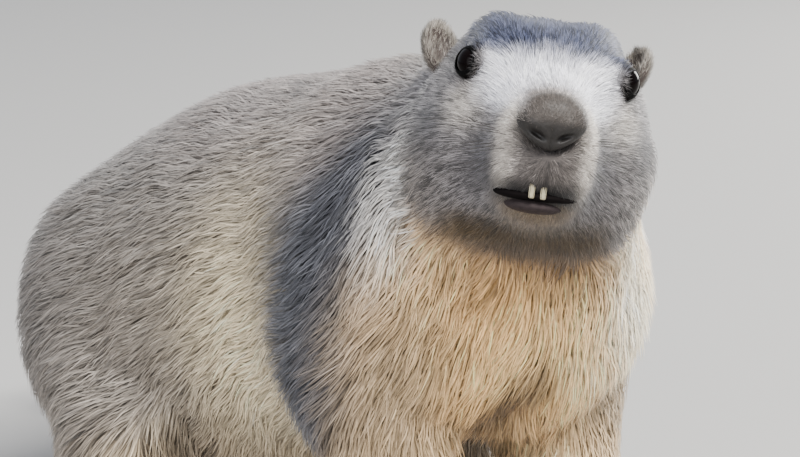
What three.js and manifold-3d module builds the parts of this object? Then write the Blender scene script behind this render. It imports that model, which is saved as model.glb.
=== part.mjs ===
// A life-size alpine marmot on all fours, its head raised and turned a little to its right.
// Millimetres. +Z is up, the animal faces -Y, and its left side is +X. The floor is z = 0.
import * as THREE from 'three';
import { mergeVertices } from 'three/addons/utils/BufferGeometryUtils.js';
import Module from 'manifold-3d';

const wasm = await Module();
wasm.setup();

// Driving dimensions, out to the tips of the coat
const trunkLength = 315;
const trunkWidth = 190;
const backHeight = 211;
const headWidth = 96;
const headLength = 112;
const headHeight = 78;
const shoulderWidth = 150;
const tailLength = 165;
const foreStance = 60;
const hindStance = 160;
const hindFootLength = 84;
const foreFootLength = 54;
const eyeDiameter = 12.4;
const earHeight = 22;
const clawLength = 11;
const noseWidth = 24;
const mouthWidth = 30;
const gap = 0.3;

// Where the head is held and how it is turned, in degrees
const headPlace = new THREE.Vector3(-8, -130, 210);
const headTurn = -27;
const headLift = 6;
const headRoll = 8;

const point = (x, y, z) => new THREE.Vector3(x, y, z);
const degrees = THREE.MathUtils.degToRad;

// Distance fields: negative inside, positive outside, near enough to millimetres at the skin

// An ellipsoid of flesh and coat
function mass(centre, radii, tilt = 0) {
  const turn = new THREE.Quaternion().setFromAxisAngle(point(1, 0, 0), degrees(-tilt));
  const p = new THREE.Vector3();
  return (at) => {
    p.subVectors(at, centre);
    if (tilt) p.applyQuaternion(turn);
    const scaled = Math.hypot(p.x / radii.x, p.y / radii.y, p.z / radii.z);
    const slope = Math.hypot(p.x / radii.x ** 2, p.y / radii.y ** 2, p.z / radii.z ** 2);
    return slope < 1e-9 ? -Math.min(radii.x, radii.y, radii.z) : (scaled * (scaled - 1)) / slope;
  };
}

// A limb that tapers from one round end to the other
function taper(start, end, startRadius, endRadius) {
  const axis = new THREE.Vector3().subVectors(end, start);
  const length2 = axis.lengthSq();
  const p = new THREE.Vector3();
  return (at) => {
    p.subVectors(at, start);
    const share = THREE.MathUtils.clamp(p.dot(axis) / length2, 0, 1);
    return p.addScaledVector(axis, -share).length() - THREE.MathUtils.lerp(startRadius, endRadius, share);
  };
}

// Several fields melted together over a distance of about the softness
function melt(softness, ...fields) {
  return (at) => {
    let sum = 0;
    for (const field of fields) sum += Math.exp(-field(at) / softness);
    return -softness * Math.log(sum);
  };
}

const within = (...fields) => (at) => Math.max(...fields.map((field) => field(at)));
const grown = (field, by) => (at) => field(at) - by;
const outside = (field) => (at) => -field(at);

// Positive on the side that the normal points to
function halfSpace(onPlane, normal) {
  const unit = normal.clone().normalize();
  return (at) => unit.dot(at) - unit.dot(onPlane);
}

// Trunk

const trunkFront = -0.4 * trunkLength;
const along = (share) => trunkFront + share * trunkLength;
const trunkMass = (share, height, wide, long, tall) => mass(
  point(0, along(share), height * backHeight),
  point(wide * trunkWidth, long * trunkLength, tall * backHeight),
);
const trunk = melt(
  9,
  trunkMass(0.75, 0.44, 0.43, 0.2, 0.36),
  trunkMass(0.57, 0.52, 0.43, 0.27, 0.39),
  trunkMass(0.39, 0.62, 0.36, 0.24, 0.34),
  trunkMass(0.2, 0.76, 0.31, 0.14, 0.2),
  trunkMass(0.26, 0.8, 0.22, 0.15, 0.15),
);

// Head, in its own frame: -Y towards the nose, +Z towards the crown, the origin midway between ears and eyes

const headTwist = new THREE.Matrix4()
  .makeRotationZ(degrees(headTurn))
  .multiply(new THREE.Matrix4().makeRotationX(degrees(-headLift)))
  .multiply(new THREE.Matrix4().makeRotationY(degrees(headRoll)));
const headMatrix = headTwist.clone().setPosition(headPlace);
const headInverse = headMatrix.clone().invert();
const fromHead = (x, y, z) => point(x, y, z).applyMatrix4(headMatrix);

const eyeRadius = eyeDiameter / 2;
const eyePlace = point(0.258 * headWidth, -0.165 * headLength, 0.15 * headHeight);
const mouthLevel = -0.33 * headHeight;
const lipFront = -0.5 * headLength;

const headMass = (x, y, z, wide, long, tall) => mass(
  point(x * headWidth, y * headLength, z * headHeight),
  point(wide * headWidth, long * headLength, tall * headHeight),
);
const skull = melt(
  5,
  headMass(-0.1, 0.13, 0.03, 0.24, 0.33, 0.3),
  headMass(0.1, 0.13, 0.03, 0.24, 0.33, 0.3),
  headMass(0, -0.1, 0.08, 0.26, 0.21, 0.25),
  headMass(0, -0.32, -0.08, 0.15, 0.2, 0.18),
  headMass(0, -0.32, -0.24, 0.15, 0.19, 0.18),
  headMass(0, -0.28, -0.35, 0.11, 0.16, 0.11),
  headMass(0, 0.04, -0.36, 0.26, 0.28, 0.16),
  headMass(-0.22, 0, -0.21, 0.17, 0.24, 0.24),
  headMass(0.22, 0, -0.21, 0.17, 0.24, 0.24),
  headMass(-0.235, 0.17, -0.22, 0.185, 0.22, 0.27),
  headMass(0.235, 0.17, -0.22, 0.185, 0.22, 0.27),
);
const headField = (() => {
  const p = new THREE.Vector3();
  return (at) => skull(p.copy(at).applyMatrix4(headInverse));
})();

// Neck, thick with coat, from the withers and chest up to the back of the head

const neckRoot = point(-2, along(0.24), 0.78 * backHeight);
const nape = fromHead(0, 0.26 * headLength, -0.2 * headHeight);
const throat = fromHead(0, 0.14 * headLength, -0.4 * headHeight);
const neck = melt(
  7,
  taper(neckRoot, nape, 0.27 * trunkWidth, 0.36 * headWidth),
  taper(point(0.03 * trunkWidth, along(0.14), 0.66 * backHeight), throat, 0.3 * trunkWidth, 0.4 * headWidth),
);

// Limbs, for one side: -1 is the animal's right

const foreFloor = 10;
function foreLeg(side) {
  const shoulder = point(side * 0.28 * shoulderWidth, along(0.2), 0.58 * backHeight);
  const elbow = point(side * 0.19 * shoulderWidth, along(0.15), 0.36 * backHeight);
  const wrist = point((side * foreStance) / 2, along(0.08), 0.13 * backHeight);
  const palm = point((side * foreStance) / 2, along(0.08) - 0.32 * foreFootLength, foreFloor);
  const bulge = mass(shoulder, point(0.19 * shoulderWidth, 0.12 * trunkLength, 0.25 * backHeight));
  return {
    shoulder,
    elbow,
    wrist,
    palm,
    bulge,
    field: melt(
      5,
      bulge,
      taper(shoulder, elbow, 0.18 * shoulderWidth, 0.18 * shoulderWidth),
      taper(elbow, wrist, 0.17 * shoulderWidth, 0.11 * shoulderWidth),
      taper(wrist, palm, 0.09 * shoulderWidth, 0.07 * shoulderWidth),
    ),
  };
}

const hindFloor = 10.5;
function hindLeg(side) {
  const hip = point(side * 0.33 * trunkWidth, along(0.74), 0.42 * backHeight);
  const knee = point(side * 0.42 * trunkWidth, along(0.54), 0.27 * backHeight);
  const heel = point((side * hindStance) / 2, along(0.76), hindFloor + 5);
  const ball = point((side * hindStance) / 2 + side * 4, along(0.76) - 0.56 * hindFootLength, hindFloor);
  const bulge = mass(hip, point(0.15 * trunkWidth, 0.18 * trunkLength, 0.28 * backHeight));
  return {
    hip,
    knee,
    heel,
    ball,
    bulge,
    field: melt(
      6,
      bulge,
      taper(hip, knee, 0.15 * trunkWidth, 0.12 * trunkWidth),
      taper(knee, heel, 0.115 * trunkWidth, 0.075 * trunkWidth),
    ),
    lower: taper(knee, heel, 0.12 * trunkWidth, 0.08 * trunkWidth),
  };
}

const sides = { right: -1, left: 1 };
const foreLegs = { right: foreLeg(-1), left: foreLeg(1) };
const hindLegs = { right: hindLeg(-1), left: hindLeg(1) };

// Tail, bushy, dropping from the rump and laid along the floor

const tailRadius = 0.15 * tailLength;
const tailLine = new THREE.CatmullRomCurve3([
  point(0, along(0.9), 0.36 * backHeight),
  point(2, along(0.99), 0.26 * backHeight),
  point(8, along(1.08), tailRadius + 5),
  point(18, along(1.2), tailRadius - 1),
  point(32, along(1.32), tailRadius - 1),
  point(46, along(1.42), tailRadius - 4),
]);
const tailField = melt(
  4,
  ...[0, 1, 2, 3, 4].map((step) => {
    const girths = [0.78, 0.74, 0.8, 0.84, 0.8, 0.55];
    return taper(
      tailLine.getPoint(step / 5),
      tailLine.getPoint((step + 1) / 5),
      girths[step] * tailRadius,
      girths[step + 1] * tailRadius,
    );
  }),
);

// Trunk, neck, head and tail, and the same with the swell of the shoulders and haunches
const core = melt(7, trunk, neck, headField, tailField);
const bulk = melt(6, core, ...Object.keys(sides).flatMap((name) => [foreLegs[name].bulge, hindLegs[name].bulge]));

// Meshes

// Where a ray from inside a field comes out of it
function surfacePoint(field, base, ray) {
  const tip = new THREE.Vector3();
  let reach = 0;
  for (let step = 0; step < 80; step++) {
    const depth = field(tip.copy(base).addScaledVector(ray, reach));
    reach -= 0.85 * depth;
    if (Math.abs(depth) < 0.005) break;
  }
  return tip.copy(base).addScaledVector(ray, reach);
}

// A capsule bent along a spine, each of its vertices pushed out to the surface of a field
function wrap(field, spine, around, lengthwise, capRings) {
  const shape = new THREE.CapsuleGeometry(1, 1, capRings, around, lengthwise);
  const { position, normal } = shape.attributes;
  const outward = new THREE.Vector3();
  const ray = new THREE.Vector3();
  const tip = new THREE.Vector3();
  const run = spine.getPoint(1).sub(spine.getPoint(0)).normalize();
  const reference = Math.abs(run.z) > 0.7 ? point(0, 1, 0) : point(0, 0, 1);
  for (let i = 0; i < position.count; i++) {
    outward.fromBufferAttribute(normal, i);
    const share = THREE.MathUtils.clamp(position.getY(i) - outward.y + 0.5, 0, 1);
    const base = spine.getPoint(share);
    const tangent = spine.getTangent(share);
    const across = new THREE.Vector3().crossVectors(reference, tangent).normalize();
    const rise = new THREE.Vector3().crossVectors(across, tangent);
    ray.set(0, 0, 0);
    ray.addScaledVector(across, outward.x).addScaledVector(tangent, outward.y).addScaledVector(rise, outward.z);
    tip.copy(surfacePoint(field, base, ray));
    position.setXYZ(i, tip.x, tip.y, tip.z);
  }
  return solid(shape);
}

// A closed three.js geometry as a solid that can be joined and cut
function solid(geometry) {
  const bare = geometry.index ? geometry.toNonIndexed() : geometry.clone();
  bare.deleteAttribute('normal');
  bare.deleteAttribute('uv');
  const merged = mergeVertices(bare, 1e-4);
  const corners = merged.index.array;
  const kept = [];
  for (let i = 0; i < corners.length; i += 3) {
    const [a, b, c] = [corners[i], corners[i + 1], corners[i + 2]];
    if (a !== b && b !== c && c !== a) kept.push(a, b, c);
  }
  return new wasm.Manifold(
    new wasm.Mesh({
      numProp: 3,
      vertProperties: merged.attributes.position.array,
      triVerts: new Uint32Array(kept),
    }),
  );
}

// Keeps the largest closed surface of a solid, which fills sealed hollows and drops scraps
function largest(made) {
  return made.decompose().sort((a, b) => b.volume() - a.volume())[0];
}

function geometryOf(made) {
  const { numProp, numVert, vertProperties, triVerts } = made.getMesh();
  const places = new Float32Array(numVert * 3);
  for (let i = 0; i < numVert; i++) {
    places.set(vertProperties.subarray(i * numProp, i * numProp + 3), i * 3);
  }
  const geometry = new THREE.BufferGeometry();
  geometry.setAttribute('position', new THREE.BufferAttribute(places, 3));
  geometry.setIndex(new THREE.BufferAttribute(triVerts, 1));
  geometry.computeVertexNormals();
  return geometry;
}

// The solid block in front of a plane, half a gap clear of it
const blockSize = 1200;
function block(onPlane, normal, clear = gap / 2) {
  const shape = new THREE.BoxGeometry(blockSize, blockSize, blockSize);
  shape.translate(0, 0, blockSize / 2 + clear);
  shape.applyQuaternion(new THREE.Quaternion().setFromUnitVectors(point(0, 0, 1), normal.clone().normalize()));
  shape.translate(onPlane.x, onPlane.y, onPlane.z);
  return solid(shape);
}

function ellipsoid(centre, radii, around, rings, turn = new THREE.Euler()) {
  const shape = new THREE.SphereGeometry(1, around, rings);
  shape.scale(radii.x, radii.y, radii.z);
  shape.applyMatrix4(new THREE.Matrix4().makeRotationFromEuler(turn));
  shape.translate(centre.x, centre.y, centre.z);
  return solid(shape);
}

// Locks of long hair: flat, tapered and curved, sunk in the coat at the root

const chance = (() => {
  let seed = 41;
  return () => {
    seed = (seed * 16807) % 2147483647;
    return seed / 2147483647;
  };
})();

// The direction straight out of a field's surface
function outwardAt(field, at) {
  const reach = 0.5;
  const rise = (axis) => (
    field(at.clone().addScaledVector(axis, reach)) - field(at.clone().addScaledVector(axis, -reach)));
  return point(rise(point(1, 0, 0)), rise(point(0, 1, 0)), rise(point(0, 0, 1))).normalize();
}

const lockDepth = 5;
function lock(field, base, ray, lie, length, width) {
  const root = surfacePoint(field, base, ray);
  const out = outwardAt(field, root);
  const run = lie.clone().addScaledVector(out, -lie.dot(out)).normalize();
  run.addScaledVector(run.clone().cross(out), 0.5 * (chance() - 0.5)).normalize();
  const across = new THREE.Vector3().crossVectors(run, out).normalize();
  const shape = new THREE.ConeGeometry(1, 1, 4, 2);
  const { position } = shape.attributes;
  const reach = length * (0.85 + 0.3 * chance());
  for (let i = 0; i < position.count; i++) {
    const share = position.getY(i) + 0.5;
    const place = root.clone()
      .addScaledVector(run, (share - 0.25) * reach)
      .addScaledVector(out, lockDepth * (1.75 * share - 0.75 - 0.6 * share * share))
      .addScaledVector(across, position.getX(i) * width)
      .addScaledVector(out, position.getZ(i) * 0.35 * width);
    position.setXYZ(i, place.x, place.y, place.z);
  }
  return solid(shape);
}

// Locks set in rings around a spine, a half step apart from ring to ring
function lockRings(field, spine, shares, angles, lieOf, length, width) {
  const made = [];
  shares.forEach((share, ring) => {
    const base = spine.getPoint(share);
    const tangent = spine.getTangent(share);
    const across = new THREE.Vector3().crossVectors(point(0, 0, 1), tangent).normalize();
    const rise = new THREE.Vector3().crossVectors(tangent, across);
    const step = angles.length > 1 ? angles[1] - angles[0] : 0;
    angles.forEach((angle) => {
      const turn = degrees(angle + (ring % 2) * 0.5 * step + 0.3 * step * (chance() - 0.5));
      const ray = across.clone().multiplyScalar(Math.cos(turn)).addScaledVector(rise, Math.sin(turn));
      made.push(lock(field, base, ray, lieOf(tangent, ray), length, width));
    });
  });
  return made;
}

const evenly = (count, from, to) => Array.from({ length: count }, (_, i) => from + ((to - from) * i) / (count - 1));
const withLocks = (made, locks) => locks.reduce((sum, one) => sum.add(one), made);

// Cuts that part the body into nodes

const neckCut = { at: point(0, along(0.17), 0.81 * backHeight), towards: point(-0.08, -0.85, 0.5) };
const localNape = { at: point(0, 0.33 * headLength, 0), towards: point(0, -0.86, 0.5) };
const napeCut = {
  at: localNape.at.clone().applyMatrix4(headMatrix),
  towards: localNape.towards.clone().applyMatrix4(headTwist),
};
const tailCut = { at: tailLine.getPoint(0.16), towards: tailLine.getTangent(0.16) };
const tailBend = { at: tailLine.getPoint(0.43), towards: tailLine.getTangent(0.43) };
const tailSplit = { at: tailLine.getPoint(0.7), towards: tailLine.getTangent(0.7) };
const past = (cut) => halfSpace(cut.at, cut.towards);
const before = (cut) => outside(halfSpace(cut.at, cut.towards));

const shoulderCutter = (leg) => ({
  centre: point(leg.shoulder.x * 1.28, leg.shoulder.y - 4, 0.47 * backHeight),
  radii: point(0.235 * trunkWidth, 0.18 * trunkLength, 0.37 * backHeight),
});
const haunchCutter = (leg) => ({
  centre: point(leg.hip.x * 1.45, leg.hip.y - 0.03 * trunkLength, 0.35 * backHeight),
  radii: point(0.26 * trunkWidth, 0.25 * trunkLength, 0.4 * backHeight),
});
function cutterSolid({ centre, radii }, grow) {
  return ellipsoid(centre, point(radii.x + grow, radii.y + grow, radii.z + grow), 16, 9);
}

const margin = 14;
const shoulderCutters = { right: shoulderCutter(foreLegs.right), left: shoulderCutter(foreLegs.left) };
const haunchCutters = { right: haunchCutter(hindLegs.right), left: haunchCutter(hindLegs.left) };
const beyond = (made, cut) => made.intersect(block(cut.at, cut.towards));
const short = (made, cut) => made.subtract(block(cut.at, cut.towards, -gap / 2));

const trunkSpine = new THREE.CatmullRomCurve3([
  point(0, along(0.22), 0.63 * backHeight),
  point(0, along(0.4), 0.6 * backHeight),
  point(0, along(0.6), 0.52 * backHeight),
  point(0, along(0.78), 0.46 * backHeight),
]);
const chestReach = 50;
const bulkField = within(bulk, grown(past(neckCut), chestReach), grown(past(tailCut), margin));
const bulkSolid = short(wrap(bulkField, trunkSpine, 24, 14, 6), tailCut);

function makeTorso() {
  let made = short(bulkSolid, neckCut);
  for (const cutter of [...Object.values(shoulderCutters), ...Object.values(haunchCutters)]) {
    made = made.subtract(cutterSolid(cutter, gap / 2));
  }
  return largest(made);
}

function makeNeck() {
  const bounds = within(bulk, grown(before(neckCut), margin), grown(past(napeCut), margin));
  const spine = new THREE.LineCurve3(
    neckCut.at.clone().add(point(-1, -10, -22)),
    nape.clone().lerp(throat, 0.4).lerp(neckCut.at, 0.35),
  );
  const down = () => point(0, 0.25, -1);
  const apron = lockRings(bulk, spine, [0.1, 0.55], evenly(8, 195, 345), down, 0.1 * trunkLength, 0.05 * trunkWidth);
  let made = short(beyond(withLocks(wrap(bounds, spine, 26, 4, 6), apron), neckCut), napeCut);
  for (const cutter of Object.values(shoulderCutters)) made = made.subtract(cutterSolid(cutter, gap / 2));
  return largest(made);
}

// Limbs: the upper length is let into the trunk, the lower one stands on its foot

function limbLength(field, from, to, around, lengthwise, capRings) {
  return wrap(field, new THREE.LineCurve3(from, to), around, lengthwise, capRings);
}

function makeForeLeg(name) {
  const leg = foreLegs[name];
  const elbowCut = { at: leg.elbow.clone().add(point(0, 0, -10)), towards: point(0, -0.25, -1) };
  const wristCut = { at: leg.wrist.clone().add(point(0, 0, 1)), towards: point(0, -0.35, -1) };
  const upperField = within(grown(leg.field, -0.5), grown(past(elbowCut), margin));
  let upper = limbLength(upperField, leg.shoulder.clone().add(point(0, 0, -8)), leg.elbow, 14, 4, 3);
  upper = upper.add(bulkSolid).intersect(cutterSolid(shoulderCutters[name], -gap / 2));
  upper = short(upper, elbowCut);
  const lowerField = within(leg.field, grown(before(elbowCut), margin), grown(past(wristCut), margin));
  const lowerStart = leg.elbow.clone().lerp(leg.wrist, 0.25);
  const lower = limbLength(lowerField, lowerStart, leg.wrist.clone().add(point(0, 0, 4)), 16, 4, 4);
  return { upper: largest(upper), lower: largest(short(beyond(lower, elbowCut), wristCut)), wristCut };
}

function makeHindLeg(name) {
  const leg = hindLegs[name];
  const kneeCut = { at: leg.knee.clone().lerp(leg.heel, 0.25), towards: point(0, 0.12, -1) };
  const ankleCut = { at: leg.heel.clone().add(point(0, -8, 9)), towards: point(0, -0.3, -1) };
  const upperField = within(grown(leg.field, -0.5), grown(past(kneeCut), margin));
  let upper = limbLength(upperField, leg.hip, leg.knee.clone().add(point(0, 14, 16)), 14, 5, 4);
  upper = upper.add(bulkSolid).intersect(cutterSolid(haunchCutters[name], -gap / 2));
  upper = short(upper, kneeCut);
  const lowerField = within(leg.lower, grown(before(kneeCut), margin), grown(past(ankleCut), margin));
  const lowerStart = leg.knee.clone().lerp(leg.heel, 0.35);
  const lower = limbLength(lowerField, lowerStart, leg.knee.clone().lerp(leg.heel, 0.75), 14, 4, 4);
  return { upper: largest(upper), lower: largest(short(beyond(lower, kneeCut), ankleCut)), ankleCut };
}

// Feet: a palm with toes that end in curved claws, the soles trimmed level with the floor

const sole = { at: point(0, 0, 0), towards: point(0, 0, 1) };

// A round bar through places, with a radius at each
function bar(places, radii, around, lengthwise, capRings) {
  const parts = places.slice(1).map((place, i) => taper(places[i], place, radii[i], radii[i + 1]));
  return wrap(melt(1, ...parts), new THREE.CatmullRomCurve3(places), around, lengthwise, capRings);
}

function claw(root, heading, width) {
  const steps = [0, 0.45, 0.8, 1];
  const drop = [0, -0.02, -0.16, -0.34];
  const places = steps.map((share, i) => root.clone()
    .addScaledVector(heading, share * clawLength)
    .add(point(0, 0, drop[i] * clawLength)));
  return bar(places, [width, 0.8 * width, 0.5 * width, 0.22 * width], 5, 3, 1);
}

function makeFoot(palmStart, palmEnd, cut, form) {
  const palmField = melt(
    3,
    taper(palmStart, palmEnd, form.backRadius, form.frontRadius),
    mass(palmEnd, point(form.halfWidth, form.halfWidth, form.frontRadius)),
  );
  const field = within(melt(3, palmField, form.limb), grown(before(cut), margin));
  let made = wrap(field, new THREE.LineCurve3(palmStart, palmEnd), 10, 3, 2);
  made = beyond(made, cut);
  form.toes.forEach(({ across, reach, spread }) => {
    const heading = point(Math.sin(degrees(spread)), -Math.cos(degrees(spread)), 0);
    const root = palmEnd.clone().add(point(across, -0.2 * form.halfWidth, -1));
    const knuckle = root.clone().addScaledVector(heading, 0.5 * reach).add(point(0, 0, 1.5));
    const end = root.clone().addScaledVector(heading, reach).add(point(0, 0, form.toeRadius - root.z));
    made = made.add(bar([root, knuckle, end], [1.1, 1.12, 0.9].map((k) => k * form.toeRadius), 5, 2, 2));
    made = made.add(claw(end.clone().add(point(0, 0, 0.6)), heading, 0.42 * form.toeRadius));
  });
  return largest(beyond(made, sole));
}

function makeForeFoot(name, cut) {
  const leg = foreLegs[name];
  const side = sides[name];
  return makeFoot(leg.wrist.clone().lerp(leg.palm, 0.4), leg.palm, cut, {
    limb: leg.field,
    backRadius: 0.085 * shoulderWidth,
    frontRadius: foreFloor,
    halfWidth: 0.105 * shoulderWidth,
    toeRadius: 4.6,
    toes: [-1.5, -0.5, 0.5, 1.5].map((k) => ({
      across: 7 * k,
      reach: (0.34 - 0.035 * Math.abs(k + 0.3 * side)) * foreFootLength,
      spread: 9 * k,
    })),
  });
}

function makeHindFoot(name, cut) {
  const leg = hindLegs[name];
  return makeFoot(leg.heel.clone().add(point(0, -2, 0)), leg.ball, cut, {
    limb: leg.lower,
    backRadius: 0.065 * trunkWidth,
    frontRadius: hindFloor,
    halfWidth: 0.082 * trunkWidth,
    toeRadius: 4.8,
    toes: [-2, -1, 0, 1, 2].map((k) => ({
      across: 6.6 * k,
      reach: (0.27 - 0.028 * k ** 2) * hindFootLength,
      spread: 7 * k,
    })),
  });
}

// Tail, in three lengths

function tailLengthNode(from, to, start, end) {
  let field = tailField;
  if (start) field = within(field, grown(before(start), margin));
  if (end) field = within(field, grown(past(end), margin));
  const places = [0, 0.33, 0.67, 1].map((share) => tailLine.getPoint(from + share * (to - from)));
  const spine = new THREE.CatmullRomCurve3(places);
  const backwards = (tangent) => tangent;
  const rings = evenly(3, 0, 1);
  const locks = lockRings(field, spine, rings, evenly(5, 0, 288), backwards, 0.28 * tailLength, 0.062 * tailLength);
  let made = withLocks(wrap(field, spine, 10, 4, 3), locks);
  if (start) made = beyond(made, start);
  if (end) made = short(made, end);
  return largest(beyond(made, sole));
}

const tailRoot = () => tailLengthNode(0.17, 0.42, tailCut, tailBend);
const tailMiddle = () => tailLengthNode(0.44, 0.68, tailBend, tailSplit);
const tailTip = () => tailLengthNode(0.72, 0.93, tailSplit, null);

// Head, in its own frame

const mirror = (place, side) => point(side * place.x, place.y, place.z);

const localBulk = (() => {
  const p = new THREE.Vector3();
  return (at) => bulk(p.copy(at).applyMatrix4(headMatrix));
})();

function wrapHead() {
  const spine = new THREE.CatmullRomCurve3([
    point(0, 0.2 * headLength, 0),
    point(0, 0, -0.02 * headHeight),
    point(0, -0.18 * headLength, -0.1 * headHeight),
    point(0, -0.36 * headLength, -0.16 * headHeight),
  ]);
  return wrap(within(localBulk, grown(before(localNape), margin)), spine, 28, 13, 6);
}

// Rounded rims above and below each eye
function lidRing(side) {
  const ring = new THREE.TorusGeometry(1.02 * eyeRadius, 1.5, 5, 16);
  ring.scale(1.12, 0.92, 1);
  const facing = point(side * 0.86, -0.5, 0.12).normalize();
  ring.applyQuaternion(new THREE.Quaternion().setFromUnitVectors(point(0, 0, 1), facing));
  const place = mirror(eyePlace, side).addScaledVector(facing, 0.32 * eyeRadius);
  ring.translate(place.x, place.y, place.z);
  return solid(ring);
}

const nosePlace = point(0, -0.52 * headLength, -0.03 * headHeight);
function nosePad(grow) {
  const radii = point(noseWidth / 2 + grow, 0.28 * noseWidth + grow, 0.42 * noseWidth + grow);
  return ellipsoid(nosePlace, radii, 14, 8, new THREE.Euler(degrees(12), 0, 0));
}

function nostril(side) {
  const shape = new THREE.CapsuleGeometry(1.2, 4.2, 2, 6, 1);
  shape.rotateZ(degrees(side * 42));
  shape.rotateX(degrees(-15));
  shape.translate(side * 0.27 * noseWidth, nosePlace.y - 5, nosePlace.z - 0.1 * noseWidth);
  return solid(shape);
}

// The slit of the open mouth, its corners drawn back and down
function mouthSlit() {
  return ellipsoid(point(0, -0.33 * headLength, mouthLevel), point(mouthWidth / 2, 0.3 * headLength, 2), 18, 8);
}

const earPlace = point(0.355 * headWidth, 0.13 * headLength, 0.16 * headHeight);
const earTurn = (side) => new THREE.Euler(degrees(-14), degrees(side * 24), degrees(side * -30));

function earShell(side, grow) {
  const height = earHeight / 2 + grow;
  return ellipsoid(mirror(earPlace, side), point(0.72 * height, 0.36 * height, height), 12, 7, earTurn(side));
}

// The cup opens forwards and outwards
function ear(side) {
  const turn = earTurn(side);
  const opening = mirror(earPlace, side).add(point(side * 1.5, -3.4, 1.2).applyEuler(turn));
  const cup = ellipsoid(opening, point(0.24 * earHeight, 0.15 * earHeight, 0.36 * earHeight), 10, 5, turn);
  return earShell(side, 0).subtract(cup);
}

// An upper incisor, or the room that it needs in the gum
const incisorWidth = 3.8;
function incisor(side, grow) {
  const shape = new THREE.CapsuleGeometry(incisorWidth / 2 + grow, 1.45 * incisorWidth, 2, 8, 1);
  shape.scale(1, 1, 0.8);
  shape.rotateX(degrees(8));
  shape.translate(side * (incisorWidth / 2 + gap), lipFront - gap, mouthLevel + 0.3 * incisorWidth);
  return solid(shape);
}

// The ruff of the cheeks, combed back and down behind the jaw
function cheekLocks() {
  return [-1, 1].flatMap((side) => evenly(4, 0, 1).flatMap((row) => evenly(4, 0, 1).map((step) => {
    const base = point(side * 0.1 * headWidth, (-0.1 + 0.25 * row) * headLength, -0.16 * headHeight);
    const turn = degrees(8 - 62 * step - 7 * (row % 0.66));
    const ray = point(side * Math.cos(turn), 0, Math.sin(turn));
    return lock(localBulk, base, ray, point(side * 0.3, 1, -0.45), 0.2 * headLength, 0.06 * headWidth);
  })));
}

function makeHead() {
  let made = beyond(withLocks(wrapHead(), cheekLocks()), localNape);
  for (const side of [-1, 1]) {
    made = made.add(lidRing(side));
    made = made.subtract(ellipsoid(mirror(eyePlace, side), point(1, 1, 1).multiplyScalar(eyeRadius + gap), 12, 8));
    made = made.subtract(earShell(side, gap));
  }
  made = made.subtract(nosePad(gap)).subtract(mouthSlit());
  for (const side of [-1, 1]) made = made.subtract(incisor(side, 2 * gap));
  return largest(made);
}

const marmot = new THREE.Group();
const fur = new THREE.MeshStandardMaterial({ color: 0x8c7d68, roughness: 0.95, metalness: 0 });
const eyeGlass = new THREE.MeshStandardMaterial({ color: 0x120c08, roughness: 0.1, metalness: 0 });
const noseSkin = new THREE.MeshStandardMaterial({ color: 0x2d2725, roughness: 0.5, metalness: 0 });
const enamel = new THREE.MeshStandardMaterial({ color: 0xd9c9a0, roughness: 0.35, metalness: 0 });

function add(name, made, material = fur, parent = marmot) {
  const mesh = new THREE.Mesh(geometryOf(made), material.clone());
  mesh.name = name;
  parent.add(mesh);
}

add('torso', makeTorso());
add('neck', makeNeck());
add('tail_root', tailRoot());
add('tail_middle', tailMiddle());
add('tail_tip', tailTip());
for (const name of Object.keys(sides)) {
  const fore = makeForeLeg(name);
  add(`upper_arm_${name}`, fore.upper);
  add(`forearm_${name}`, fore.lower);
  add(`fore_foot_${name}`, makeForeFoot(name, fore.wristCut));
  const hind = makeHindLeg(name);
  add(`thigh_${name}`, hind.upper);
  add(`shank_${name}`, hind.lower);
  add(`hind_foot_${name}`, makeHindFoot(name, hind.ankleCut));
}

const headGroup = new THREE.Group();
headGroup.applyMatrix4(headMatrix);
marmot.add(headGroup);
add('head', makeHead(), fur, headGroup);
add('nose', nosePad(0).subtract(nostril(-1)).subtract(nostril(1)), noseSkin, headGroup);
for (const [name, side] of Object.entries(sides)) {
  add(`ear_${name}`, ear(side), fur, headGroup);
  const ball = ellipsoid(mirror(eyePlace, side), point(1, 1, 1).multiplyScalar(eyeRadius), 12, 8);
  add(`eye_${name}`, ball, eyeGlass, headGroup);
  add(`incisor_${name}`, incisor(side, 0), enamel, headGroup);
}

// The box of the whole stands with the middle of its base on the origin
marmot.updateMatrixWorld(true);
const box = new THREE.Box3().setFromObject(marmot, true);
const middle = box.getCenter(point(0, 0, 0));
const standing = new THREE.Group();
standing.add(marmot);
marmot.position.set(-middle.x, -middle.y, -box.min.z);
export default standing;
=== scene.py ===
import math

import bmesh
import bpy
import numpy as np
from mathutils import Matrix, Vector, kdtree


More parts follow.
